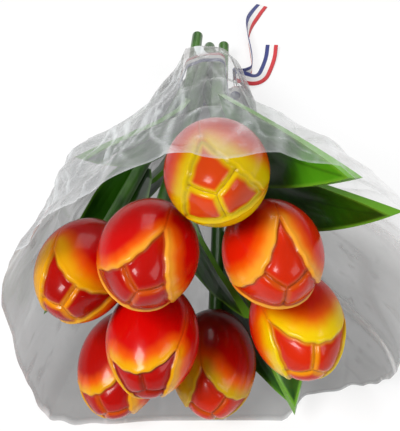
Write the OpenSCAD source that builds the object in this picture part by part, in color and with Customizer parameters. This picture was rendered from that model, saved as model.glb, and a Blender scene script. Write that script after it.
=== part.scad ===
// A bunch of carved wooden tulips that lies on a table in a clear flower sleeve.
// The heads point along -Y and the stem ends along +Y, and Z is up.

/* [Head] */
// Whole length of a tulip, from the stem's end to the tip of its head
tulip_len = 340; // [325:1:360]
// Widest diameter of a head
head_d = 47; // [46:0.1:49]
// Length of a head
head_len = 67; // [64:0.5:70]
// Length of a head's tip half, ahead of its widest place
tip_len = 34.5; // [33:0.5:36]
// Radius of the long curve along a head's side
side_r = 42; // [39:0.5:48]
// How far the outer petals stand proud of the inner ones
petal_step = 1.3; // [0.8:0.1:2]
// Distance from the axis to the middle of an outer petal's edge
petal_open = 12.4; // [11:0.1:14]
// Distance of that middle below the head's tip
petal_drop = 6.5; // [5:0.5:8]
// Lean of an outer petal's edge toward the axis, in degrees
petal_lean = 5.5; // [4:0.5:7]
// Radius of the curve of an outer petal's edge
petal_edge_r = 90; // [70:1:120]
// Radius of the gouge that parts the inner petals
gouge_r = 2.4; // [2:0.1:3]
// Depth of the gouge below the inner petals
gouge_depth = 1.1; // [0.6:0.1:1.5]

/* [Stem] */
// Diameter of a stem
stem_d = 8; // [7:0.1:8.4]
// Radius of the rounding at a stem's end
stem_round = 1.5; // [0.5:0.1:2.5]
// Depth of the stem's hole in the head
socket_depth = 14; // [8:0.5:20]
// Room for glue round a stem, in its hole and in its leaf
glue_gap = 0.1; // [0.05:0.01:0.2]

/* [Leaf] */
// Length of a leaf along its stem
leaf_len = 124; // [110:1:130]
// Widest width of a leaf
leaf_w = 40; // [34:0.5:41]
// Length of a small leaf, as a share of a large one's
small_len = 0.9; // [0.8:0.01:0.92]
// Width of a small leaf, as a share of a large one's
small_w = 0.75; // [0.6:0.01:0.77]
// Thickness of a leaf at its keel
leaf_t = 4.5; // [3.5:0.1:5]
// Radius of a leaf's outward bend
leaf_bend = 215; // [205:1:260]
// Lean of a leaf's foot away from the stem, in degrees
leaf_lean = 5; // [4:0.5:6]
// Radius of the hollow inner face across a leaf
leaf_hollow_r = 26; // [24:0.5:34]
// Radius of each half of the outer face across a leaf
leaf_back_r = 40; // [36:0.5:48]
// Sideways shift of each half of the outer face, which makes the keel
leaf_keel = 8; // [4:0.5:10]
// Depth that the leaf's foot is let in round the stem
leaf_notch = 1; // [0.5:0.1:1.5]

/* [Bunch] */
// Least gap between neighbouring heads
head_gap = 1; // [0.8:0.1:2]
// Room between neighbouring stems at the tie
stem_gap = 0.8; // [0.6:0.1:1.2]
// Height of the stem bundle's middle at the tie
tie_height = 27; // [26.8:0.1:29]
// Distance from the tie to the middle of the lowest heads
tie_reach = 242.5; // [240:0.5:250]

/* [Sleeve] */
// Thickness of the film, drawn thicker than the real one
film_t = 0.4; // [0.3:0.05:0.5]
// Gap between the film and what lies on it
film_gap = 0.3; // [0.2:0.05:0.5]
// Width of the narrow end
neck_w = 50; // [48:1:56]
// Height of the narrow end
neck_h = 46; // [46:1:52]
// Distance from the tie to the narrow end
neck_reach = 22; // [15:1:26]
// Width of the mouth
mouth_w = 202; // [200:1:210]
// Height of the mouth
mouth_h = 217; // [217:1:226]
// Length of the sleeve along its sides
side_len = 272; // [266:1:276]
// Length of the sleeve along its top
top_len = 306; // [300:1:310]
// Length of the sleeve along its bottom
bottom_len = 287; // [280:1:292]
// Depth of the folds at the mouth
fold_depth = 4; // [2:0.5:6]

/* [Ribbon] */
// Width of the ribbon
ribbon_w = 10; // [8:0.5:12]
// Thickness of the ribbon
ribbon_t = 0.6; // [0.4:0.05:0.8]
// Gap between the ribbon and the stems that it ties
ribbon_gap = 0.3; // [0.2:0.05:0.5]
// Diameter of the ribbon's knot
knot_d = 9; // [8:0.5:10]

/* [Hidden] */
$fn = 48;

// One row for each tulip. Its head stands so many head spacings right of the tie, ahead of the
// lowest heads and above them.
heads = [
    [0.05, -0.15, 2.9], [-0.6, 0.15, 2.1], [0.6, 0.1, 2.05], [-1.32, -0.2, 1.43],
    [-1, 0, 0], [-0.6, 0.3, 0.9], [0.05, 0, 0], [0.9, 0.25, 1.1]
];
// Its stem crosses the tie so many stem spacings right of the middle and above it.
crossings = [
    [0.9, 1.6], [-0.2, 1.7], [-0.5, 0.6], [-1.7, -0.6],
    [-0.6, -1.65], [-1.15, 1.4], [1.3, -1.3], [0.6, -0.05]
];
// Its leaf points this way round the stem, in degrees from straight down and turning right.
leaf_turns = [92, 254, 107, 328, 244, 86, 66, 0];
// The foot of its leaf is this far from the stem's end.
leaf_feet = [194, 128, 188, 181, 112, 174, 206, 186];
// These tulips have a large leaf, and the others a small one.
large_leaves = [0, 2, 7];
// Its head is turned this far round the stem.
head_turns = [75, 0, 0, 20, 30, 10, 45, 80];

head_colors = [
    "orange", "orangered", "darkorange", "darkorange", "red", "orangered", "gold", "goldenrod"
];

tulips = len(heads);
// Overrun of a cut past the face that it opens
cut = 1;
head_r = head_d / 2;
stem_r = stem_d / 2;
head_pitch = head_d + head_gap;
stem_pitch = stem_d + stem_gap;
rest_z = film_t + film_gap + head_r;

// The tie's place over the origin, which stands under the middle of the whole
tie_x = 1.7;
tie_y = 76.4;

// Ribbon tails: points from the tie, each with the ribbon's turn about its own line in degrees
tail_left = [
    [20.4, 5.3, 18, 82], [20.2, 14, 18, 84], [20.2, 23, 15, 86], [23.5, 28, 11, 88],
    [29.5, 33, 8, 90], [35, 41, 5.5, 90], [36, 53, 5.4, 90], [35, 70, 5.4, 88],
    [34, 86, 5.2, 80], [36, 104, 4.4, 50], [42, 122, 2, 15], [48, 135, 1, 0]
];
tail_right = [
    [22.4, 5.3, 17, 80], [22.3, 16, 16, 82], [22.4, 23.5, 13, 80], [27.5, 27, 9, 62],
    [36.5, 30.5, 4, 30], [43, 37, 1.6, 8], [47, 47, 1, 0], [51, 61, 2, -4], [53, 75, 4, -6]
];

// A tulip's middle, the point where its stem crosses the tie, its direction and its stem's end
function middle(i) = [
    heads[i].x * head_pitch,
    -tie_reach - heads[i].y * head_pitch,
    rest_z + heads[i].z * head_pitch
];
function crossing(i) = [crossings[i].x * stem_pitch, 0, tie_height + crossings[i].y * stem_pitch];
function unit(v) = v / norm(v);
function way(i) = unit(middle(i) - crossing(i));
function stem_end(i) = middle(i) + (tip_len - tulip_len) * way(i);

module at_tie() translate([tie_x, tie_y, 0]) children();

module place(i) {
    d = way(i);
    at_tie() translate(stem_end(i))
        rotate([0, acos(d.z), atan2(d.y, d.x)])
            children();
}

// Head

base_len = head_len - tip_len;
head_z = tulip_len - tip_len;

// Radius of an end arc that runs on smoothly from the side curve, for a half of this length
function end_r(half_len) =
    (side_r ^ 2 - (side_r - head_r) ^ 2 - half_len ^ 2) / (2 * (side_r - half_len));
// Height at which the side curve meets that arc, on a surface this far inside the head's own
function meet_z(half_len, inset) =
    (half_len - end_r(half_len)) * (1 + (end_r(half_len) - inset) / (side_r - end_r(half_len)));

module head_profile(inset) {
    top_z = meet_z(tip_len, inset);
    low_z = meet_z(base_len, inset);
    intersection() {
        translate([0, -head_len]) square([head_d, 2 * head_len]);
        union() {
            intersection() {
                translate([head_r - side_r, 0]) circle(side_r - inset);
                translate([0, -low_z]) square([head_d, low_z + top_z]);
            }
            translate([0, tip_len - end_r(tip_len)]) circle(end_r(tip_len) - inset);
            translate([0, end_r(base_len) - base_len]) circle(end_r(base_len) - inset);
        }
    }
}

module petal_edge() {
    translate([petal_open, 0, tip_len - petal_drop])
        rotate([0, petal_lean, 0])
            translate([petal_edge_r, 0, 0])
                cylinder(r = petal_edge_r, h = 3 * head_len, center = true);
}

module gouge() {
    arc_r = end_r(tip_len) - petal_step + gouge_r - gouge_depth;
    translate([0, 0, tip_len - end_r(tip_len)])
        rotate([90, 0, 0])
            rotate_extrude(angle = 90)
                translate([arc_r, 0]) circle(gouge_r);
}

module head_carved() {
    difference() {
        rotate_extrude() head_profile(petal_step);
        for (k = [0:2]) rotate([0, 0, 120 * k]) gouge();
    }
    intersection() {
        rotate_extrude() head_profile(0);
        union() for (k = [0:2]) rotate([0, 0, 120 * k]) petal_edge();
    }
}

module head(i) {
    color(head_colors[i])
        place(i) rotate([0, 0, head_turns[i]])
            difference() {
                translate([0, 0, head_z]) head_carved();
                translate([0, 0, tulip_len - head_len - cut])
                    cylinder(d = stem_d + 2 * glue_gap, h = socket_depth + cut);
            }
}

// Stem

stem_len = tulip_len - head_len + socket_depth - glue_gap;

module stem(i) {
    color("forestgreen")
        place(i)
            rotate_extrude() {
                translate([0, stem_round]) square([stem_r, stem_len - stem_round]);
                square([stem_r - stem_round, stem_len]);
                intersection() {
                    translate([stem_r - stem_round, stem_round]) circle(stem_round);
                    square([stem_r, stem_len]);
                }
            }
}

// Leaf

// How far past its foot a leaf's two curved edges would meet
leaf_tail = 16;

// The section across a leaf: x is the distance from the centre of the leaf's bend
module leaf_section(width) {
    back_x = leaf_bend - leaf_t + sqrt(leaf_back_r ^ 2 - leaf_keel ^ 2);
    rim = leaf_hollow_r - sqrt(leaf_hollow_r ^ 2 - (width / 2) ^ 2);
    difference() {
        intersection() {
            translate([back_x, leaf_keel]) circle(leaf_back_r);
            translate([back_x, -leaf_keel]) circle(leaf_back_r);
            translate([leaf_bend - leaf_t - cut, -width])
                square([rim + leaf_t + cut, 2 * width]);
        }
        translate([leaf_bend + leaf_hollow_r, 0]) circle(leaf_hollow_r);
    }
}

// The outline of a leaf, pointed at its tip and cut off square at its foot
module leaf_outline(length, width) {
    half = (length + leaf_tail) / 2;
    arc_r = (half ^ 2 + (width / 2) ^ 2) / width;
    intersection() {
        translate([-length, -width]) square([length, 2 * width]);
        translate([half - length, arc_r - width / 2]) circle(arc_r);
        translate([half - length, width / 2 - arc_r]) circle(arc_r);
    }
}

module leaf_blade(length, width) {
    centre_x = stem_r - leaf_notch + leaf_bend * cos(leaf_lean);
    centre_z = -leaf_bend * sin(leaf_lean);
    intersection() {
        translate([centre_x, 0, centre_z])
            rotate([90, 0, 0])
                rotate_extrude() leaf_section(width);
        translate([-width, 0, 0])
            rotate([0, 90, 0])
                linear_extrude(centre_x) leaf_outline(length, width);
    }
}

function is_large(i) = len(search(i, large_leaves)) > 0;

module leaf(i) {
    color("green")
        place(i) rotate([0, 0, leaf_turns[i]])
            difference() {
                translate([0, 0, leaf_feet[i]])
                    if (is_large(i)) leaf_blade(leaf_len, leaf_w);
                    else leaf_blade(leaf_len * small_len, leaf_w * small_w);
                cylinder(d = stem_d + 2 * glue_gap, h = stem_len);
            }
}

// Sleeve

// Spans along the sleeve, and points round it
film_spans = 12;
film_steps = 64;
// How early the sleeve opens toward its full width and height
width_power = 0.66;
height_power = 0.9;
// Height of the widest place of the sleeve's section, as a share of the section's height
widest_share = 0.4;
// Squareness of the section above that place and below it
top_square = 2.2;
low_square = 3;
// How much deeper the lower part would be if the table didn't stop it
low_depth = 1.1;
// Folds round the whole mouth
folds = 9;

function mix(a, b, t) = a + (b - a) * t;
// Length of the sleeve at this angle round its mouth, where 0 is right and 90 is the top
function sleeve_len(a) = side_len + ((sin(a) > 0 ? top_len : bottom_len) - side_len) * sin(a) ^ 2;
function sign_pow(v, p) = sign(v) * abs(v) ^ p;

// A point on the film, t from 0 at the narrow end to 1 at the mouth
function film_point(t, a, inset) =
    let (
        half_w = mix(neck_w, mouth_w, t ^ width_power) / 2,
        high = mix(neck_h, mouth_h, t ^ height_power),
        widest = widest_share * high,
        low = sin(a) < 0,
        p = 2 / (low ? low_square : top_square),
        reach = low ? widest * low_depth : high - widest,
        fold = fold_depth * t ^ 2 * (1 - cos(folds * a)) / 2 * (low ? 0 : 1),
        x = (half_w - inset + fold) * sign_pow(cos(a), p),
        z = widest + (reach - inset + fold) * sign_pow(sin(a), p)
    )
    [x, neck_reach - t * sleeve_len(a), max(z, inset)];

// A skin between an outer and an inner ring at each station, closed at both ends
module skin(outer, inner) {
    rings = len(outer);
    n = len(outer[0]);
    points = [for (r = outer) each r, for (r = inner) each r];
    side = rings * n;
    quads = [
        for (r = [0:rings - 2], k = [0:n - 1])
            let (a = r * n + k, b = r * n + (k + 1) % n)
            each [[a, b, b + n, a + n], [side + b, side + a, side + a + n, side + b + n]],
        for (k = [0:n - 1])
            let (a = k, b = (k + 1) % n, last = (rings - 1) * n)
            each [[b, a, side + a, side + b], [last + a, last + b, side + last + b, side + last + a]]
    ];
    polyhedron(points, [for (q = quads) each [[q[0], q[1], q[2]], [q[0], q[2], q[3]]]]);
}

module sleeve() {
    spans = [0:film_spans];
    steps = [0:film_steps - 1];
    turn = 360 / film_steps;
    color("lightgray", 0.4)
        at_tie() skin(
            [for (r = spans) [for (k = steps) film_point(r / film_spans, turn * k, 0)]],
            [for (r = spans) [for (k = steps) film_point(r / film_spans, turn * k, film_t)]]
        );
}

// Ribbon

function stem_at(i, y) = crossing(i) + way(i) * (y / way(i).y);

// The outline round all the stems where they pass under the ribbon, grown by some margin
module bundle_outline(margin) {
    hull()
        for (i = [0:tulips - 1], y = [-ribbon_w / 2, ribbon_w / 2])
            let (p = stem_at(i, y))
            translate([p.x, p.z]) circle(stem_r / abs(way(i).y) + margin, $fn = 32);
}

module ribbon_band() {
    color("mistyrose")
        at_tie() rotate([90, 0, 0])
            linear_extrude(ribbon_w, center = true)
                difference() {
                    bundle_outline(ribbon_gap + ribbon_t);
                    bundle_outline(ribbon_gap);
                }
}

// The knot lies against the band beside the lowest stem on the right.
knot_side = 6;
knot_curve_r = 8;
band_right = ribbon_gap + ribbon_t + max([
    for (i = [0:tulips - 1], y = [-ribbon_w / 2, ribbon_w / 2])
        stem_at(i, y).x + stem_r / abs(way(i).y)
]);

module ribbon_knot() {
    color("white")
        at_tie() translate([band_right + knot_d / 2, 0, crossing(knot_side).z])
            rotate([90, 0, 0])
                rotate_extrude()
                    intersection() {
                        translate([knot_d / 2 - knot_curve_r, 0]) circle(knot_curve_r);
                        translate([0, -ribbon_w / 2]) square([knot_d, ribbon_w]);
                    }
}

// A flat strip along points that each hold a place and the strip's turn about its own line
module strip(route) {
    n = len(route);
    frames = [
        for (k = [0:n - 1])
            let (
                here = [route[k].x, route[k].y, route[k].z],
                before = route[max(k - 1, 0)],
                after = route[min(k + 1, n - 1)],
                along = unit([after.x - before.x, after.y - before.y, after.z - before.z]),
                flat = unit(cross(along, [0, 0, 1])),
                up = cross(flat, along),
                across = cos(route[k][3]) * flat + sin(route[k][3]) * up,
                thick = cross(across, along)
            )
            [for (c = [[-1, -1], [1, -1], [1, 1], [-1, 1]])
                here + c[0] * across * ribbon_w / 2 + c[1] * thick * ribbon_t / 2]
    ];
    last = 4 * (n - 1);
    at_tie() polyhedron(
        [for (f = frames) each f],
        [
            [0, 2, 1], [0, 3, 2], [last, last + 1, last + 2], [last, last + 2, last + 3],
            for (k = [0:n - 2], c = [0:3])
                let (a = 4 * k + c, b = 4 * k + (c + 1) % 4)
                each [[a, b, b + 4], [a, b + 4, a + 4]]
        ]
    );
}

module ribbon_tail(route) color("white") strip(route);

for (i = [0:tulips - 1]) {
    head(i);
    stem(i);
    leaf(i);
}
sleeve();
ribbon_band();
ribbon_knot();
ribbon_tail(tail_left);  // ribbon_tail_left
ribbon_tail(tail_right);  // ribbon_tail_right
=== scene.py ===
"""A bunch of carved and lacquered wooden tulips in a clear flower sleeve, tied with a striped ribbon."""

import logging
import math
from dataclasses import dataclass, field
from enum import Enum
from typing import Any, Optional, Sequence

import bpy
import numpy as np
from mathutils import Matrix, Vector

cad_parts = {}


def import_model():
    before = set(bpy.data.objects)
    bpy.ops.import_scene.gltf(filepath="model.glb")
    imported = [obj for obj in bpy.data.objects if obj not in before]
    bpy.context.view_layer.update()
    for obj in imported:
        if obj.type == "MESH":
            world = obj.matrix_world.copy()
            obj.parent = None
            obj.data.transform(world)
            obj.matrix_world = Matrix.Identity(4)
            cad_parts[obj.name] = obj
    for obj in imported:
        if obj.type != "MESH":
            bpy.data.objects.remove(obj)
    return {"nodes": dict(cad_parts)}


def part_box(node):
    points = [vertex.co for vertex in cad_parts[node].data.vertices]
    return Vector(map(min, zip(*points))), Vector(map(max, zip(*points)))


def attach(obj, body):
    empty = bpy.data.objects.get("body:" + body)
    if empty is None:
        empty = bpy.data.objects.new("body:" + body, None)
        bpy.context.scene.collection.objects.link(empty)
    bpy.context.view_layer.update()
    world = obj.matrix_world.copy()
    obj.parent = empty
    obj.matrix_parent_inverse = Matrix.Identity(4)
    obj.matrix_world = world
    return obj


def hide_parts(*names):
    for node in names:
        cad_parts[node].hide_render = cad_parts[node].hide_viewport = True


log = logging.getLogger("tulips")

Vec = tuple[float, float, float]
Span = tuple[float, float]
Array = np.ndarray

MM = 0.001
FAR = 1e9
FULL_TURN = 2 * math.pi
# Shares of +Y and +Z in the picture's upward direction, for a view from 47 degrees above
PICTURE_UP = (0.731, 0.682)


def linear(red: int, green: int, blue: int) -> Vec:
    """Turn a colour written in screen values into the renderer's linear values.

    Args:
        red: Red from 0 to 255.
        green: Green from 0 to 255.
        blue: Blue from 0 to 255.

    Returns:
        The linear colour.
    """
    def one(value: int) -> float:
        """Return one linear channel."""
        share = value / 255
        return share / 12.92 if share <= 0.04045 else ((share + 0.055) / 1.055) ** 2.4

    return one(red), one(green), one(blue)


def scaled(colour: Vec, factor: float) -> Vec:
    """Return a colour made darker or lighter by a factor."""
    return tuple(value * factor for value in colour)


def smooth(low: float, high: float, value: Array) -> Array:
    """Return a smooth step from 0 at low to 1 at high.

    Args:
        low: Value at which the step starts.
        high: Value at which the step ends.
        value: The numbers to map.

    Returns:
        The mapped numbers.
    """
    share = np.clip((value - low) / (high - low), 0, 1)
    return share * share * (3 - 2 * share)


def bell(off: Array, width: float) -> Array:
    """Return a bell curve, which is 1 where off is 0 and falls to 0.37 one width away."""
    return np.exp(-(off / width) ** 2)


def ring_angles(count: int) -> Array:
    """Return evenly spaced angles round a full turn, starting at 0."""
    return np.arange(count) * FULL_TURN / count


def about_z(turn: float) -> Array:
    """Return the matrix of a turn about the Z axis."""
    cos, sin = math.cos(turn), math.sin(turn)
    return np.array([[cos, -sin, 0], [sin, cos, 0], [0, 0, 1]])


# Materials


class Signal:
    """An output socket of a node tree that takes part in Python arithmetic."""

    def __init__(self, graph: "Graph", socket: Any) -> None:
        """Wrap one output socket of a graph."""
        self.graph = graph
        self.socket = socket

    def _math(self, operation: str, *others: Any) -> "Signal":
        """Add one Math node.

        Args:
            operation: The node's operation.
            others: The other operands, as signals, sockets or numbers.

        Returns:
            The node's value.
        """
        values = dict(enumerate((self, *others)))
        return self.graph.node("ShaderNodeMath", {"operation": operation}, values)

    def __add__(self, other: Any) -> "Signal":
        """Return self + other."""
        return self._math("ADD", other)

    __radd__ = __add__

    def __sub__(self, other: Any) -> "Signal":
        """Return self - other."""
        return self._math("SUBTRACT", other)

    def __rsub__(self, other: float) -> "Signal":
        """Return other - self."""
        return self._math("MULTIPLY", -1.0)._math("ADD", other)

    def __mul__(self, other: Any) -> "Signal":
        """Return self * other."""
        return self._math("MULTIPLY", other)

    __rmul__ = __mul__

    def __truediv__(self, other: Any) -> "Signal":
        """Return self / other."""
        return self._math("DIVIDE", other)

    def __abs__(self) -> "Signal":
        """Return the size without the sign."""
        return self._math("ABSOLUTE")

    def sine(self) -> "Signal":
        """Return the sine."""
        return self._math("SINE")

    def root(self) -> "Signal":
        """Return the square root."""
        return self._math("SQRT")

    def step(self, low: float, high: float) -> "Signal":
        """Return a smooth step from 0 at low to 1 at high."""
        return self.graph.node(
            "ShaderNodeMapRange", {"interpolation_type": "SMOOTHSTEP"}, {0: self, 1: low, 2: high}
        )


class Graph:
    """A node tree under construction."""

    def __init__(self, tree: bpy.types.NodeTree) -> None:
        """Take up a node tree."""
        self.tree = tree

    def node(self, kind: str, settings: dict[str, Any], values: dict[Any, Any],
             output: Any = 0) -> Signal:
        """Add one node.

        Args:
            kind: The node's type.
            settings: Properties that are set first.
            values: Values or links of its input sockets, by name or index.
            output: The output socket to return, by name or index.

        Returns:
            The chosen output.
        """
        made = self.tree.nodes.new(kind)
        for key, value in settings.items():
            setattr(made, key, value)
        for key, value in values.items():
            if isinstance(value, Signal):
                value = value.socket
            if isinstance(value, bpy.types.NodeSocket):
                self.tree.links.new(value, made.inputs[key])
            else:
                made.inputs[key].default_value = value
        return Signal(self, made.outputs[output])


class Paint(Graph):
    """A procedural material under construction, with short ways to add its nodes."""

    def __init__(self, name: str) -> None:
        """Start an empty material of this name with one Principled shader."""
        self.material = bpy.data.materials.new(name)
        self.material.use_nodes = True
        super().__init__(self.material.node_tree)
        self.tree.nodes.clear()
        self.shader = self.tree.nodes.new("ShaderNodeBsdfPrincipled")
        self.output = self.tree.nodes.new("ShaderNodeOutputMaterial")
        self.tree.links.new(self.shader.outputs[0], self.output.inputs[0])
        self.place = self.tree.nodes.new("ShaderNodeTexCoord").outputs["Object"]

    def attribute(self, name: str) -> Signal:
        """Return a number stored on the mesh under this name."""
        return self.node("ShaderNodeAttribute", {"attribute_name": name}, {}, "Fac")

    def along(self, direction: Sequence[float], offset: float) -> Signal:
        """Return the distance along a direction from the origin, less an offset, in metres."""
        dot = self.node(
            "ShaderNodeVectorMath", {"operation": "DOT_PRODUCT"},
            {0: self.place, 1: tuple(float(value) for value in direction)}, "Value"
        )
        return dot - offset

    def moved(self, stretch: Vec = (1, 1, 1), shift: Vec = (0, 0, 0)) -> Signal:
        """Return the Object coordinates, stretched and then shifted."""
        return self.node(
            "ShaderNodeMapping", {}, {"Vector": self.place, "Scale": stretch, "Location": shift}
        )

    def noise(self, scale: float, detail: float = 2.0, **change: Vec) -> Signal:
        """Return a cloudy noise from 0 to 1 over Object coordinates.

        Args:
            scale: Clouds per metre.
            detail: Octaves of finer clouds.
            change: The coordinates' stretch and shift.

        Returns:
            The noise.
        """
        return self.node(
            "ShaderNodeTexNoise", {},
            {"Vector": self.moved(**change), "Scale": scale, "Detail": detail}
        )

    def mix(self, share: Any, first: Any, second: Any) -> Signal:
        """Mix two colours.

        Args:
            share: Share of the second colour.
            first: A colour or a colour signal.
            second: A colour or a colour signal.

        Returns:
            The mixed colour.
        """
        def colour(value: Any) -> Any:
            """Return a colour with its alpha."""
            return value if isinstance(value, Signal) else (*value, 1.0)

        return self.node(
            "ShaderNodeMix", {"data_type": "RGBA"},
            {0: share, 6: colour(first), 7: colour(second)}, 2
        )

    def bump(self, height: Signal, strength: float, distance: float) -> None:
        """Feed a height to the shader's normal through a Bump node.

        Args:
            height: The height pattern, from 0 to 1.
            strength: Strength of the bump.
            distance: Height of a full step, in metres.
        """
        normal = self.node(
            "ShaderNodeBump", {}, {"Height": height, "Strength": strength, "Distance": distance}
        )
        self.feed("Normal", normal)

    def gloss(self, roughness: Signal, coat: float, coat_roughness: float,
              specular: float = 0.5) -> None:
        """Set how the surface shines.

        Args:
            roughness: Roughness under the coat.
            coat: Weight of the clear coat.
            coat_roughness: Roughness of the clear coat.
            specular: Level of the reflections under the coat.
        """
        self.feed("Roughness", roughness)
        self.feed("Specular IOR Level", specular)
        self.feed("Coat Weight", coat)
        self.feed("Coat Roughness", coat_roughness)

    def feed(self, name: str, value: Any) -> None:
        """Set or link one of the shader's sockets.

        Args:
            name: The socket's name.
            value: A signal, or a plain value.
        """
        socket = self.shader.inputs[name]
        if isinstance(value, Signal):
            self.tree.links.new(value.socket, socket)
        elif isinstance(value, tuple) and len(value) == 3 and len(socket.default_value) == 4:
            socket.default_value = (*value, 1.0)
        else:
            socket.default_value = value


@dataclass(frozen=True)
class HeadLacquer:
    """The lacquer of one carved head, sprayed from yellow at the petals' edges to red.

    The reaches are distances from a petal's edge, and the spans say where one colour turns into
    another, all in metres. red_side is the direction in the picture, in degrees from the right,
    in which the red spreads further.
    """

    number: int
    yellow_reach: float
    orange_reach: float
    red_reach: float
    red: Vec
    pad: Vec
    yellow: Vec
    line: Vec
    red_side: float
    side_pull: float
    pad_rim: float = 0.0006
    orange: Vec = linear(208, 76, 3)
    groove_shade: Vec = linear(120, 40, 2)
    head_r: float = 0.0235
    painted_base_shade: Span = (0.04, 0.066)
    flame: Span = (0.0008, 0.006)
    flame_end: Span = (0.030, 0.046)
    pad_glow: Span = (0.013, 0.034)
    groove: Span = (0.0007, 0.0032)
    groove_floor: Span = (0.0, 0.0006)

    def _petal(self, paint: Paint, rim: Signal, mottle: Signal) -> Signal:
        """Spray an outer petal from yellow at its edge, through orange, to red.

        Args:
            paint: The material under construction.
            rim: Distance from the petal's edge, uneven and pulled to one side.
            mottle: Uneven shift of the colours' limits, in metres.

        Returns:
            The colour.
        """
        low = paint.attribute("low")
        petal = paint.mix(
            rim.step(self.yellow_reach * 0.4, self.orange_reach), self.yellow, self.orange)
        petal = paint.mix(rim.step(self.orange_reach * 0.8, self.red_reach), petal, self.red)
        # Painted shade: the petals darken to a dull red toward the head's base, away from the tip
        dark = (low + mottle).step(*self.painted_base_shade) * 0.8
        petal = paint.mix(dark, petal, scaled(self.red, 0.5))
        flame = 1 - paint.attribute("seam").step(*self.flame)
        flame = flame * (1 - low.step(*self.flame_end))
        return paint.mix(flame * 0.5, petal, self.orange)

    def _pad(self, paint: Paint, cloud: Signal, fine: Signal, mottle: Signal) -> Signal:
        """Paint an inner pad, with a line of another colour along its grooves and its rim.

        Args:
            paint: The material under construction.
            cloud: Large noise.
            fine: Small noise.
            mottle: Uneven shift of the colours' limits, in metres.

        Returns:
            The colour.
        """
        groove = paint.attribute("groove") + (fine - 0.5) * 0.0006
        from_edge = paint.attribute("rim") + (fine - 0.5) * 0.0004
        middle = groove.step(*self.groove) * from_edge.step(self.pad_rim * 0.2, self.pad_rim * 2)
        tint = paint.mix(cloud.step(0.35, 0.7) * 0.6, self.pad, scaled(self.pad, 0.62))
        glow = (paint.attribute("low") + mottle).step(*self.pad_glow) * 0.75
        tint = paint.mix(glow, tint, self.orange)
        pad = paint.mix(middle, self.line, tint)
        # Painted shade on the grooves' floors
        return paint.mix((1 - groove.step(*self.groove_floor)) * 0.5, pad, self.groove_shade)

    def material(self, centre: Array) -> bpy.types.Material:
        """Build the lacquer from the marks that the carved mesh carries.

        Args:
            centre: Middle of the head, in metres.

        Returns:
            The material.
        """
        paint = Paint(f"head_lacquer_{self.number}")
        shift = (0.31 * self.number, 0.17 * self.number, 0.23 * self.number)
        cloud = paint.noise(30, 2.0, shift=shift)
        fine = paint.noise(210, 3.0, shift=shift)
        turn = math.radians(self.red_side)
        side = np.array([math.cos(turn), *(share * math.sin(turn) for share in PICTURE_UP)])
        toward = paint.along(side, float(np.dot(side, centre))) / self.head_r
        mottle = (cloud - 0.5) * 0.006 + (fine - 0.5) * 0.0012
        rim = paint.attribute("rim") + mottle + toward * self.side_pull
        petal = self._petal(paint, rim, mottle)
        pad = self._pad(paint, cloud, fine, mottle)
        colour = paint.mix(paint.attribute("proud").step(0.42, 0.58), pad, petal)
        crevice_shade = paint.attribute("crevice_shade")
        # Painted shade in the crevices behind the petals' edges and along their seams, a dark copy of
        # the line colour
        paint.feed("Base Color", paint.mix(crevice_shade * 0.42, colour, scaled(self.line, 0.3)))
        paint.gloss(0.2 + fine * 0.08 + crevice_shade * 0.15, coat=0.16, coat_roughness=0.07,
                    specular=0.13)
        paint.bump(cloud * 0.7 + paint.noise(80, 1.0, shift=shift) * 0.3, 0.3, 0.001)
        return paint.material


@dataclass(frozen=True)
class StemPaint:
    """Satin green paint over a turned dowel."""

    light: Vec = linear(74, 128, 26)
    dark: Vec = linear(26, 70, 8)

    def material(self) -> bpy.types.Material:
        """Build the paint, streaked along the stems.

        Returns:
            The material.
        """
        paint = Paint("stem_paint")
        streak = paint.noise(260, 3.0, stretch=(1, 0.05, 1))
        cloud = paint.noise(22, 2.0)
        colour = paint.mix((cloud * 0.6 + streak * 0.4).step(0.3, 0.7), self.dark, self.light)
        paint.feed("Base Color", colour)
        paint.gloss(0.3 + streak * 0.15, coat=0.25, coat_roughness=0.2)
        paint.bump(streak, 0.3, 0.0004)
        return paint.material


@dataclass(frozen=True)
class LeafLacquer:
    """Dark glossy green lacquer of one leaf, with a painted highlight along its edges.

    light is a factor for a leaf that catches more light in the photograph. The spans are in
    metres.
    """

    number: int
    light: float
    inner: Vec = linear(24, 62, 4)
    outer: Vec = linear(48, 104, 10)
    # edge is the colour of a painted highlight along the leaf's rim
    edge: Vec = linear(104, 160, 40)
    keel: Vec = linear(14, 44, 10)
    edge_highlight: Span = (0.0004, 0.0022)
    keel_line: Span = (0.0002, 0.0011)

    def material(self, tulip: "Tulip") -> bpy.types.Material:
        """Build the lacquer in the leaf's own directions.

        Args:
            tulip: The tulip that the leaf belongs to.

        Returns:
            The material.
        """
        paint = Paint(f"leaf_lacquer_{self.number}")
        across, up = tulip.leaf_axes()
        start = tulip.stem_end
        side = abs(paint.along(across, float(np.dot(across, start))))
        height = paint.along(up, float(np.dot(up, start)) + BUNCH.leaf_feet[tulip.index] * MM)
        length, width = tulip.leaf_size()
        half = (length + BUNCH.leaf_tail) / 2
        arc = (half ** 2 + (width / 2) ** 2) / width
        from_widest = height - (length - half) * MM
        outline = ((arc * MM) ** 2 - from_widest * from_widest).root() - (arc - width / 2) * MM
        vein = paint.noise(230, 3.0, stretch=(1, 0.12, 1), shift=(0.2 * self.number, 0, 0))
        cloud = paint.noise(18, 2.0, shift=(0, 0.3 * self.number, 0))
        body = paint.mix((cloud + (vein - 0.5) * 0.3).step(0.32, 0.7),
                         scaled(self.inner, self.light), scaled(self.outer, self.light))
        body = paint.mix((1 - side.step(*self.keel_line)) * 0.35, body, self.keel)
        # Painted highlight along the leaf's rim
        edge_highlight = 1 - (outline - side).step(*self.edge_highlight)
        paint.feed("Base Color", paint.mix(edge_highlight * 0.7, body, self.edge))
        paint.gloss(0.24 + vein * 0.14, coat=0.2, coat_roughness=0.1, specular=0.25)
        paint.bump(vein * 0.6 + cloud * 0.4, 0.3, 0.0006)
        return paint.material


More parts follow.
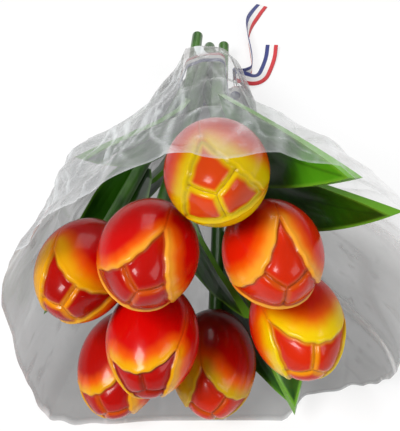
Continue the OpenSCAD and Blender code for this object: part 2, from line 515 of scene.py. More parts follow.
@dataclass(frozen=True)
class SleeveFilm:
    """Clear film, with painted highlights along its creases."""

    under: Vec = linear(78, 78, 76)
    over: Vec = linear(176, 178, 180)
    gathered: Vec = linear(150, 148, 146)
    glint_white: Vec = linear(226, 230, 232)
    neck_end: Span = (-0.085, 0.02)

    def material(self) -> bpy.types.Material:
        """Build the film from the creases that its mesh carries.

        Returns:
            The material.
        """
        paint = Paint("sleeve_film")
        crease_glint = paint.attribute("crease_glint")
        upper = paint.attribute("upper")
        haze = paint.noise(16, 4.0)
        streak = paint.noise(120, 2.0, stretch=(1, 0.22, 1))
        facet = paint.node(
            "ShaderNodeTexVoronoi", {"feature": "DISTANCE_TO_EDGE"},
            {"Vector": paint.moved(stretch=(1, 0.45, 1)), "Scale": 30.0})
        ridge = (1 - facet.step(0.0, 0.05)) * haze.step(0.5, 0.7)
        # Painted highlights: pale film along the creases, streaks and facet ridges, more on the upper
        # side, and more opaque there
        pale = crease_glint * 0.95 + streak.step(0.56, 0.76) * 0.4 + ridge * (upper * 0.3 + 0.12)
        neck = 1 - paint.along((0, -1, 0), 0).step(*self.neck_end)
        colour = paint.mix(upper, self.under, self.over)
        colour = paint.mix(neck, colour, self.gathered)
        paint.feed("Base Color", paint.mix(pale.step(0.1, 0.9), colour, self.glint_white))
        # Painted light: the upper film turns clearer toward the right and more opaque to the left, so
        # its pale veil reads as lit from the left
        veil_fade_right = paint.along((1, 0, 0), 0) * 2.8
        body = 0.63 - upper * (veil_fade_right + 0.33) + neck * 0.27
        paint.feed("Alpha", body + (haze - 0.5) * 0.3 + pale * 0.24)
        paint.gloss(0.14 + haze * 0.14, coat=0.2, coat_roughness=0.05, specular=0.4)
        paint.bump(streak * 0.25 + haze * 0.4 + facet.step(0.0, 0.4) * 0.5, 0.9, 0.0034)
        return paint.material


@dataclass(frozen=True)
class RibbonWeave:
    """Woven ribbon with a blue, a white and a red stripe along it.

    The stripes' ends are shares of the ribbon's width, and weft is the threads' pitch in metres.
    """

    blue: Vec = linear(20, 38, 116)
    white: Vec = linear(236, 234, 232)
    red: Vec = linear(200, 24, 34)
    shade: Vec = linear(70, 66, 72)
    blue_end: Span = (0.30, 0.34)
    white_end: Span = (0.66, 0.70)
    weft: float = 0.0005
    warps: int = 24

    def material(self) -> bpy.types.Material:
        """Build the weave over the ribbon's own width and length.

        Returns:
            The material.
        """
        paint = Paint("ribbon_weave")
        across = paint.attribute("across")
        stripes = paint.mix(across.step(*self.blue_end), self.blue, self.white)
        stripes = paint.mix(across.step(*self.white_end), stripes, self.red)
        weft = (paint.attribute("along") * (FULL_TURN / self.weft)).sine() * 0.5 + 0.5
        warp = (across * (FULL_TURN * self.warps)).sine() * 0.5 + 0.5
        weave = weft * 0.5 + warp * 0.5
        paint.feed("Base Color", paint.mix(weave * 0.18, stripes, self.shade))
        paint.feed("Roughness", 0.55 + weave * 0.2)
        paint.feed("Sheen Weight", 0.25)
        paint.bump(weave, 0.4, 0.00012)
        return paint.material


# Meshes


def new_mesh(name: str, points: Array, edges: Sequence[Sequence[int]],
             faces: Sequence[Sequence[int]], marks: dict[str, Array]) -> bpy.types.Mesh:
    """Make a mesh that carries numbers on its vertices.

    Args:
        name: The mesh's name.
        points: Its vertices, in metres.
        edges: Its edges, where it has no faces.
        faces: Its faces, wound outwards.
        marks: Numbers to store on its vertices, by name.

    Returns:
        The mesh.
    """
    mesh = bpy.data.meshes.new(name)
    mesh.from_pydata([tuple(map(float, point)) for point in points], edges, faces)
    for key, values in marks.items():
        mark = mesh.attributes.new(key, "FLOAT", "POINT")
        mark.data.foreach_set("value", np.asarray(values, dtype=np.float32))
    return mesh


def new_object(name: str, data: Any) -> bpy.types.Object:
    """Put an object with this mesh, lamp or camera at the scene's origin."""
    made = bpy.data.objects.new(name, data)
    bpy.context.scene.collection.objects.link(made)
    return made


def new_piece(name: str, points: Array, faces: Sequence[Sequence[int]],
              material: bpy.types.Material, marks: Optional[dict[str, Array]] = None
              ) -> bpy.types.Object:
    """Make a smooth-shaded mesh object of one material at the origin.

    Args:
        name: The object's name.
        points: Its vertices, in metres.
        faces: Its faces, wound outwards.
        material: Its material.
        marks: Numbers to store on its vertices, by name.

    Returns:
        The object.
    """
    mesh = new_mesh(name, points, [], faces, marks or {})
    mesh.shade_smooth()
    made = new_object(name, mesh)
    dress(made, material)
    return made


def dress(piece: bpy.types.Object, material: bpy.types.Material) -> None:
    """Give every face of an object one material.

    Args:
        piece: The object.
        material: Its material.
    """
    materials = piece.data.materials
    if not materials:
        materials.append(material)
    for index in range(len(materials)):
        materials[index] = material


def stand_in(piece: bpy.types.Object, body: str, node: str) -> None:
    """Let a piece ride on a body in the place of one of the frame's solids.

    Args:
        piece: The object.
        body: The body's name.
        node: The name of the solid's node.
    """
    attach(piece, body)
    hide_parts(node)


def ring_faces(rings: int, steps: int) -> list[tuple[int, int, int, int]]:
    """Return the quads between rings that close on themselves.

    Args:
        rings: Number of rings.
        steps: Points in a ring.

    Returns:
        The quads.
    """
    return [
        (r * steps + k, r * steps + (k + 1) % steps, (r + 1) * steps + (k + 1) % steps,
         (r + 1) * steps + k)
        for r in range(rings - 1) for k in range(steps)
    ]


def capped(rows: Array) -> Array:
    """Flatten rings of values whose first and last rings are single poles.

    Args:
        rows: One value or point for each place of each ring.

    Returns:
        The inner rings' values, then the first pole's and the last pole's.
    """
    inner = rows[1:-1].reshape(-1, *rows.shape[2:])
    return np.concatenate([inner, rows[:1, 0], rows[-1:, 0]])


def capped_faces(rings: int, steps: int) -> list[tuple[int, ...]]:
    """Return the faces of a shell that closes on a pole at each end.

    Args:
        rings: Number of rings, with the poles.
        steps: Points in a ring.

    Returns:
        The faces, wound outwards where the rings climb.
    """
    faces: list[tuple[int, ...]] = list(ring_faces(rings - 2, steps))
    end, first = (rings - 3) * steps, (rings - 2) * steps
    faces += [(first, (k + 1) % steps, k) for k in range(steps)]
    faces += [(end + k, end + (k + 1) % steps, first + 1) for k in range(steps)]
    return faces


@dataclass(frozen=True)
class Bunch:
    """Where the tulips lie, in millimetres, with the names and sizes of the part's source.

    head_turns, petal_opens and petal_leans follow the photograph more closely than the source's.
    leaf_lights are factors on the leaves' colours.
    """

    tulip_len: float = 340
    tip_len: float = 34.5
    head_pitch: float = 48
    stem_pitch: float = 8.8
    stem_r: float = 4
    rest_z: float = 24.2
    tie_height: float = 27
    tie_reach: float = 242.5
    tie: Vec = (1.7, 76.4, 0)
    heads: tuple[Vec, ...] = (
        (0.05, -0.15, 2.9), (-0.6, 0.15, 2.1), (0.6, 0.1, 2.05), (-1.32, -0.2, 1.43),
        (-1, 0, 0), (-0.6, 0.3, 0.9), (0.05, 0, 0), (0.9, 0.25, 1.1),
    )
    crossings: tuple[Span, ...] = (
        (0.9, 1.6), (-0.2, 1.7), (-0.5, 0.6), (-1.7, -0.6),
        (-0.6, -1.65), (-1.15, 1.4), (1.3, -1.3), (0.6, -0.05),
    )
    head_turns: tuple[float, ...] = (20, 96, 116, 30, 95, 74, 18, 50)
    petal_opens: tuple[float, ...] = (13.6, 12.6, 12.4, 12.2, 11.4, 9.6, 12.4, 13)
    petal_leans: tuple[float, ...] = (24, 12, 9, 14, 12, 9, 20, 12)
    leaf_turns: tuple[float, ...] = (92, 254, 107, 328, 244, 86, 66, 0)
    leaf_feet: tuple[float, ...] = (194, 128, 188, 181, 112, 174, 206, 186)
    leaf_lights: tuple[float, ...] = (2, 2.5, 1, 1, 1, 1, 1, 1)
    leaf_len: float = 124
    leaf_w: float = 40
    leaf_tail: float = 16
    large_leaves: tuple[int, ...] = (0, 2, 7)
    small_leaf: Span = (0.9, 0.75)
    travels: tuple[float, ...] = (24, 24, 24, 6, 24, 24, 24, 24)

    def middle(self, i: int) -> Array:
        """Return the middle of a tulip's head, in millimetres from the tie."""
        right, ahead, up = self.heads[i]
        return np.array([
            right * self.head_pitch, -self.tie_reach - ahead * self.head_pitch,
            self.rest_z + up * self.head_pitch
        ])

    def crossing(self, i: int) -> Array:
        """Return the point where a tulip's stem passes the tie."""
        x, z = self.crossings[i]
        return np.array([x * self.stem_pitch, 0, self.tie_height + z * self.stem_pitch])

    def way(self, i: int) -> Array:
        """Return the direction in which a tulip points."""
        line = self.middle(i) - self.crossing(i)
        return line / np.linalg.norm(line)


BUNCH = Bunch()


@dataclass
class Tulip:
    """One carved tulip: its head, stem and leaf.

    Lengths are in millimetres. The spans are depths behind a petal's edge, or heights above the
    head's widest place, over which a form comes in.
    """

    number: int
    lacquer: HeadLacquer
    widest: float = 23.5
    side_r: float = 42
    base_len: float = 32.5
    petal_step: float = 1.3
    petal_drop: float = 6.5
    petal_edge_r: float = 90
    petal_rim: Span = (-0.8, 0.6)
    rim_roll: float = 0.28
    pad_swell: float = 0.5
    pad_span: Span = (2, 12)
    gouge_depth: float = 1.1
    gouge_w: float = 1.2
    gouge_span: Span = (5, 14)
    seam_depth: float = 0.3
    seam_span: Span = (-16, 8)
    fade_span: Span = (-14, 14)
    tip_dip: float = 1.9
    plain_below: float = 12
    end_rings: int = 14
    side_rings: int = 58
    rings: int = 166
    steps: int = 320
    way: Array = field(init=False)
    stem_end: Array = field(init=False)
    turned: Array = field(init=False)

    def __post_init__(self) -> None:
        """Work out the tulip's own directions in the part's frame."""
        self.way = BUNCH.way(self.index)
        end = BUNCH.middle(self.index) + (BUNCH.tip_len - BUNCH.tulip_len) * self.way + BUNCH.tie
        self.stem_end = end * MM
        tilt = math.acos(self.way[2])
        about_y = np.array([
            [math.cos(tilt), 0, math.sin(tilt)], [0, 1, 0], [-math.sin(tilt), 0, math.cos(tilt)]])
        self.turned = about_z(math.atan2(self.way[1], self.way[0])) @ about_y

    @property
    def index(self) -> int:
        """The tulip's place in the bunch's lists."""
        return self.number - 1

    def leaf_size(self) -> Span:
        """Return the leaf's length and width in millimetres."""
        long, wide = (1, 1) if self.index in BUNCH.large_leaves else BUNCH.small_leaf
        return BUNCH.leaf_len * long, BUNCH.leaf_w * wide

    def leaf_axes(self) -> tuple[Array, Array]:
        """Return the direction across the leaf and the direction along the stem."""
        turn = math.radians(BUNCH.leaf_turns[self.index])
        return self.turned @ np.array([-math.sin(turn), math.cos(turn), 0]), self.way

    def _end_r(self, length: float) -> float:
        """Return the radius of the arc that rounds off one end of the head."""
        high = self.side_r ** 2 - (self.side_r - self.widest) ** 2 - length ** 2
        return high / (2 * (self.side_r - length))

    def _profile(self) -> tuple[Array, Array, Array, Array]:
        """Trace the head's outline from its base to its tip, in three arcs.

        Returns:
            Radius, height above the widest place, and the outline's outward normal.
        """
        tip_r, base_r = self._end_r(BUNCH.tip_len), self._end_r(self.base_len)
        side_x = self.widest - self.side_r
        tip_z, base_z = BUNCH.tip_len - tip_r, base_r - self.base_len
        top, low = math.atan2(tip_z, -side_x), math.atan2(base_z, -side_x)
        plain = math.asin(-self.plain_below / self.side_r)
        tip_rings = self.rings - 2 * self.end_rings - self.side_rings
        base = np.linspace(-math.pi / 2, low, self.end_rings, endpoint=False)
        side = np.append(np.linspace(low, plain, self.end_rings, endpoint=False),
                         np.linspace(plain, top, self.side_rings, endpoint=False))
        tip = np.linspace(top, math.pi / 2, tip_rings)
        arcs = ((base_r, 0, base_z, base), (self.side_r, side_x, 0, side), (tip_r, 0, tip_z, tip))
        spots = [(x + r * math.cos(a), z + r * math.sin(a), a) for r, x, z, arc in arcs for a in arc]
        radius, height, angle = np.array(spots).T
        return np.maximum(radius, 0), height, np.cos(angle), np.sin(angle)

    def _petals(self, r: Array, z: Array, angle: Array) -> tuple[Array, Array, Array]:
        """Work out where the three outer petals cover the head.

        Args:
            r: Radius of each ring.
            z: Height of each ring.
            angle: Angle of each step round a ring.

        Returns:
            Depth behind the edge of the petal on top, depth behind the next petal's edge, and
            distance from the grooves between the pads, ring by ring.
        """
        inside = np.full((len(r), self.steps), -FAR)
        second, arm = inside, -inside
        lean = math.radians(BUNCH.petal_leans[self.index])
        rise = z - (BUNCH.tip_len - self.petal_drop)
        for k in range(3):
            a = angle - math.radians(120 * k)
            x, y = r * np.cos(a), r * np.sin(a)
            leaning = math.cos(lean) * (x - BUNCH.petal_opens[self.index]) - math.sin(lean) * rise
            wave = 0.7 * np.sin(0.9 * y + 1.7 * self.number + 2.1 * k)
            depth = self.petal_edge_r - np.hypot(leaning - self.petal_edge_r, y) + 0.35 * wave
            second = np.maximum(second, np.minimum(inside, depth))
            inside = np.maximum(inside, depth)
            arm = np.minimum(arm, np.where(x > 0, np.abs(y), np.hypot(x, y)))
        return inside, second, arm

    @staticmethod
    def _edge_distance(points: Array, inside: Array, jump: float = 4, batches: int = 80) -> Array:
        """Measure how far each point of the head is from the nearest edge of an outer petal.

        Args:
            points: The head's points ring by ring, in millimetres.
            inside: Each point's depth behind the petals' edges in millimetres, ring by ring.
            jump: Change of depth between neighbours that is no edge.
            batches: Number of parts that the points are measured in.

        Returns:
            The distances, in millimetres.
        """
        crossings = []
        for axis in (0, 1):
            ahead = np.roll(inside, -1, axis)
            share = (inside / np.where(inside == ahead, 1, inside - ahead))[..., None]
            crossed = (inside * ahead < 0) & (np.abs(inside) + np.abs(ahead) < jump)
            crossings.append((points + (np.roll(points, -1, axis) - points) * share)[crossed])
        edge = np.concatenate(crossings)
        parts = [
            np.sqrt(((part[:, None, :] - edge[None]) ** 2).sum(-1).min(axis=1))
            for part in np.array_split(points.reshape(-1, 3), batches)
        ]
        return np.concatenate(parts).reshape(inside.shape)

    def _carving(self, r: Array, z: Array, edge: Array, arm: Array, seam: Array
                 ) -> tuple[Array, Array, Array]:
        """Work out how far the carved head stands out from its plain form.

        Args:
            r: Radius of each ring.
            z: Height of each ring.
            edge: Depth behind the nearest petal's edge.
            arm: Distance from the grooves between the pads.
            seam: Distance from the seam between two petals.

        Returns:
            The lift, the share of an outer petal and the share of painted shade in the crevices.
        """
        proud = smooth(*self.petal_rim, edge)
        fade = 0.25 + 0.75 * smooth(*self.fade_span, z + 0 * edge)
        split = smooth(*self.seam_span, z) * bell(seam, 0.8) * proud
        step = self.petal_step * proud * fade + self.petal_step * (1 - fade)
        swell = self.pad_swell * smooth(0, 5, arm) * smooth(0, 4, -edge) * smooth(*self.pad_span, z)
        gouge = self.gouge_depth * bell(arm, self.gouge_w) * (1 - proud)
        gouge = gouge * smooth(*self.gouge_span, z)
        lip = self.rim_roll * bell(edge - 1.2, 0.9) * fade
        lift = step + swell - gouge + lip - self.seam_depth * split - self.petal_step
        lift = lift * smooth(-self.base_len, -self.base_len + 6, z)
        off_axis = smooth(-0.2, 1.0, r)
        lift = lift * off_axis + (1 - off_axis) * -self.tip_dip
        lift = np.where((z < 0) & (r < 1), 0, lift)
        # The third value is painted shade just behind the petals' edges and along their seams
        return lift, proud, np.maximum(bell(edge + 0.4, 0.6) * fade, 0.6 * split)

    def head(self) -> bpy.types.Object:
        """Carve the head: three outer petals that stand proud of three parted pads.

        Returns:
            The head's object.
        """
        radius, height, out_r, out_z = self._profile()
        angle = ring_angles(self.steps)
        r, z = radius[:, None], height[:, None]
        inside, second, arm = self._petals(r, z, angle)
        plain = np.stack([r * np.cos(angle), r * np.sin(angle), z + 0 * inside], -1)
        distance = self._edge_distance(plain, inside)
        seam = np.abs(inside - second)
        lift, proud, crevice_shade = self._carving(r, z, np.sign(inside) * distance, arm, seam)
        lip_r, lip_z = r + out_r[:, None] * lift, z + out_z[:, None] * lift
        local = np.stack([lip_r * np.cos(angle), lip_r * np.sin(angle), lip_z], -1)
        spun = local @ about_z(math.radians(BUNCH.head_turns[self.index])).T
        spun[..., 2] += BUNCH.tulip_len - BUNCH.tip_len
        points = spun @ self.turned.T * MM + self.stem_end
        marks = {
            "rim": distance * MM,
            "proud": proud,
            "groove": arm * MM,
            "seam": seam * MM,
            "low": np.broadcast_to(BUNCH.tip_len - z, inside.shape) * MM,
            "crevice_shade": crevice_shade,
        }
        return new_piece(
            f"carved_head_{self.number}", capped(points), capped_faces(self.rings, self.steps),
            self.lacquer.material(points.mean(axis=(0, 1))),
            {key: capped(value) for key, value in marks.items()}
        )

    def build(self, nodes: dict[str, Any], stem: bpy.types.Material) -> None:
        """Make the head and paint the stem and the leaf.

        Args:
            nodes: The frame's objects by node name.
            stem: The stems' paint.
        """
        body = f"tulip_{self.number}"
        head = self.head()
        stand_in(head, body, f"{body}_head")
        dress(nodes[f"{body}_stem"], stem)
        leaf = LeafLacquer(self.number, BUNCH.leaf_lights[self.index])
        dress(nodes[f"{body}_leaf"], leaf.material(self))
        log.info("%s: head of %d faces", body, len(head.data.polygons))


@dataclass
class Sleeve:
    """The clear film that the bunch lies in, in millimetres from the tie.

    The sags are shares of the film's reach. Each cut says where, across the lying edge of the
    mouth, a change starts and where it is full, and how far the edge is drawn back there.
    """

    neck: Span = (50, 46)
    mouth: Span = (202, 217)
    neck_reach: float = 22
    side_len: float = 272
    top_len: float = 306
    bottom_len: float = 287
    widest_share: float = 0.4
    slit: float = 19
    notch: float = 8
    right_cut: Vec = (40, 56, 17)
    left_cut: Vec = (-60, -88, -6)
    slack: float = 3.5
    billow: float = 9
    left_sag: float = 0.15
    right_sag: float = 0.07
    longest: float = 330
    slice_step: float = 4
    empty: float = -1e3
    directions: int = 60
    easings: int = 14
    grazing: float = 0.15
    flute: float = 2.0
    pleat: float = 2.6
    folds: int = 120
    ripples: int = 40
    rings: int = 130
    steps: int = 400
    seed: int = 7

    def _length(self, angle: Array) -> Array:
        """Return the sleeve's length at each angle round its mouth."""
        end = np.where(np.sin(angle) > 0, self.top_len, self.bottom_len)
        return self.side_len + (end - self.side_len) * np.sin(angle) ** 2

    def _height(self, t: Array) -> tuple[Array, Array]:
        """Return the film's height along its length, and the height of its widest place."""
        high = self.neck[1] + (self.mouth[1] - self.neck[1]) * t ** 0.9
        return high, self.widest_share * high

    def _skin(self, t: Array, angle: Array, lift: Array) -> Array:
        """Return points on the film.

        Args:
            t: Place along the film, 0 at the neck and 1 at the mouth.
            angle: Angle round the film.
            lift: How far the film stands out from its plain shape, in millimetres.

        Returns:
            The points, in millimetres from the tie.
        """
        half_w = (self.neck[0] + (self.mouth[0] - self.neck[0]) * t ** 0.66) / 2
        high, widest = self._height(t)
        low = np.sin(angle) < 0
        power = np.where(low, 2 / (3 + 3 * t), 2 / 2.2)
        reach = np.where(low, widest * 1.1, high - widest)
        cos, sin = np.cos(angle), np.sin(angle)
        x = (half_w + lift) * np.sign(cos) * np.abs(cos) ** power
        z = widest + (reach + lift) * np.sign(sin) * np.abs(sin) ** power
        turned = (angle - 0.35 + math.pi) % FULL_TURN - math.pi
        opened = self.slit * bell(turned, 0.6) + self.notch * bell(angle - 1.6, 0.6)
        y = self.neck_reach - opened * (1 - t) ** 9 - t * self._length(angle)
        return np.stack([x, y, np.maximum(z, 0.06)], -1)

    def _contents(self, nodes: dict[str, Any], fine: int = 90, coarse: int = 6) -> Array:
        """Collect points on all that the film wraps, at rest and with the tulips drawn out.

        Args:
            nodes: The frame's objects by node name.
            fine: Points on each edge of a stem.
            coarse: Points on each edge of any other solid.

        Returns:
            Points in millimetres from the tie.
        """
        clouds = []
        for name, node in nodes.items():
            if name == "sleeve":
                continue
            corners = np.array([v.co[:] for v in node.data.vertices]) / MM - BUNCH.tie
            ends = np.array([e.vertices[:] for e in node.data.edges])
            count = fine if name.endswith("stem") else coarse
            shares = np.linspace(0, 1, count)[:, None, None]
            first, second = corners[ends[:, 0]], corners[ends[:, 1]]
            cloud = (first + (second - first) * shares).reshape(-1, 3)
            clouds.append(cloud)
            if name.startswith("tulip"):
                i = int(name.split("_")[1]) - 1
                clouds.append(cloud + BUNCH.way(i) * BUNCH.travels[i])
        cloud = np.concatenate(clouds)
        return cloud[cloud[:, 1] < self.neck_reach]

    def _hold(self, cloud: Array, turns: Array, count: int) -> Array:
        """Work out how far out the contents hold the film, in each direction and slice.

        Args:
            cloud: Points on the contents.
            turns: The directions across the film.
            count: Number of slices along the film.

        Returns:
            The reach from the table below the tie, eased along the film.
        """
        level = ((self.neck_reach - cloud[:, 1]) / self.slice_step).astype(int)
        level = np.clip(level, 0, count - 1)
        hold = np.full((len(turns), count), self.empty)
        for k, turn in enumerate(turns):
            far = cloud[:, 0] * math.cos(turn) + cloud[:, 2] * math.sin(turn)
            np.maximum.at(hold[k], level, far)
        hold = np.maximum.accumulate(hold, axis=1)
        eased = hold.copy()
        for _ in range(self.easings):
            eased[:, 1:-1] = (eased[:, :-2] + 2 * eased[:, 1:-1] + eased[:, 2:]) / 4
            eased = np.maximum(eased, hold)
        return eased

    def _drape(self, points: Array, t: Array, nodes: dict[str, Any]) -> Array:
        """Let the film sag onto what it wraps, and keep it open toward the mouth.

        Args:
            points: The film's points in millimetres from the tie.
            t: Place of each point along the film.
            nodes: The frame's objects by node name.

        Returns:
            The moved points.
        """
        turns = ring_angles(self.directions)
        count = int((self.neck_reach + self.longest) / self.slice_step)
        hold = self._hold(self._contents(nodes), turns, count)
        at = np.clip((self.neck_reach - points[..., 1]) / self.slice_step, 0, count - 1.001)
        low = at.astype(int)
        share = at - low
        middle = self._height(t)[1]
        x, z = points[..., 0], points[..., 2] - middle
        out, around = np.hypot(x, z), np.arctan2(z, x)
        reach = np.full_like(out, FAR)
        room = self.slack + self.billow * smooth(0.03, 0.2, t) * (1 - smooth(0.4, 0.7, t))
        for turn, row in zip(turns, hold):
            far = np.maximum(row[low], row[low + 1] * share + row[low] * (1 - share))
            far = far + room - middle * math.sin(turn)
            facing = np.cos(around - turn)
            met = np.minimum(reach, far / np.maximum(facing, self.grazing))
            reach = np.where(facing > self.grazing, met, reach)
        scale = np.clip(reach / out, 0.2, 1)
        sag = self.left_sag * bell(around - 2.36, 0.45) + self.right_sag * bell(around - 0.7, 0.4)
        scale = scale + (np.maximum(scale, 1 - sag) - scale) * smooth(0.72, 0.99, t)
        for _ in range(5):
            scale = (np.roll(scale, 1, 1) + 2 * scale + np.roll(scale, -1, 1)) / 4
        moved = points.copy()
        moved[..., 0] = x * scale
        moved[..., 2] = np.where(z > 0, middle + z * scale, points[..., 2])
        return moved

    def _creases(self, t: Array, angle: Array) -> tuple[Array, Array]:
        """Work out the film's folds and the painted highlights along them.

        Args:
            t: Place along the film.
            angle: Angle round the film.

        Returns:
            The lift in millimetres, and the share of painted highlight from 0 to 1.
        """
        rng = np.random.default_rng(self.seed)
        lift = self.flute * t ** 2 * (1 - np.cos(9 * angle)) / 2 * (np.sin(angle) > 0)
        pleats = np.abs(np.sin(6.5 * angle + 1.4 * np.sin(2 * angle) + 5 * t))
        lift += self.pleat * pleats * bell(t - 0.04, 0.16)
        # Painted highlights on the pleats' crests near the neck
        glint_share = 0.9 * (pleats > 0.93) * bell(t, 0.24)
        # Long folds start at random places of the upper side
        for _ in range(self.folds):
            at = rng.uniform(-0.2, math.pi + 0.2)
            swing = rng.uniform(-0.9, 0.9)
            start, end = sorted(rng.uniform(0.0, 1.1, 2))
            width = rng.uniform(0.022, 0.06)
            depth = rng.uniform(0.6, 3.4)
            line = at + swing * (t - start) + 0.05 * np.sin(9 * t + at * 3)
            off = np.abs((angle - line + math.pi) % FULL_TURN - math.pi)
            span = smooth(start - 0.08, start + 0.05, t) * (1 - smooth(end - 0.05, end + 0.08, t))
            ridge = np.maximum(0, 1 - off / (width * 2.6)) ** 1.5 * span
            lift += depth * ridge * (0.35 + 0.65 * t)
            # Each fold's middle gets a painted highlight of random strength
            glint = rng.uniform(0.2, 1.0)
            glint_share = np.maximum(glint_share, np.maximum(0, 1 - off / (width * 0.8)) * span * glint)
        # Small ripples cross between the folds
        for _ in range(self.ripples):
            wave_a, wave_t = rng.integers(3, 17), rng.uniform(3, 22)
            phase = rng.uniform(0, FULL_TURN, 2)
            size = 0.455 / (1 + 0.12 * wave_a + 0.08 * wave_t)
            lift += size * np.sin(wave_a * angle + phase[0]) * np.sin(wave_t * t + phase[1])
        # A painted highlight along the mouth's edge
        glint_share = np.maximum(glint_share, 0.55 * smooth(0.985, 0.997, t))
        return np.clip(lift, -0.2, 5.5), glint_share

    def _edge(self, t: Array, angle: Array, x: Array) -> Array:
        """Return how far the film's edge is drawn back at its mouth, ragged and trimmed."""
        ragged = 1.6 * np.sin(5 * angle + 1) + 1.1 * np.sin(11 * angle) + 0.7 * np.sin(23 * angle)
        lying = smooth(0.2, 0.8, -np.sin(angle))
        cut = sum(smooth(start, full, x) * depth for start, full, depth in
                  (self.right_cut, self.left_cut))
        return (ragged * 0.8 + cut * lying) * t ** 8

    def build(self, material: bpy.types.Material, nodes: dict[str, Any]) -> None:
        """Make the film.

        Args:
            material: The film's material.
            nodes: The frame's objects by node name.
        """
        t, angle = np.meshgrid(np.linspace(0, 1, self.rings), ring_angles(self.steps), indexing="ij")
        lift, glint_share = self._creases(t, angle)
        lift = lift * (1 - smooth(0.0, 0.35, -np.sin(angle)))
        points = self._drape(self._skin(t, angle, lift), t, nodes)
        points[..., 1] += self._edge(t, angle, points[..., 0])
        points = (points + BUNCH.tie) * MM
        faces = [tuple(reversed(face)) for face in ring_faces(self.rings, self.steps)]
        upper = smooth(-0.1, 0.5, np.sin(angle))
        film = new_piece("film_sleeve", points.reshape(-1, 3), faces, material,
                         {"crease_glint": glint_share.reshape(-1), "upper": upper.reshape(-1)})
        stand_in(film, "wrap", "sleeve")


@dataclass(frozen=True)
class Bend:
    """One point of a ribbon's line: its place from the tie in millimetres, and its turn."""

    x: float
    y: float
    z: float
    turn: float


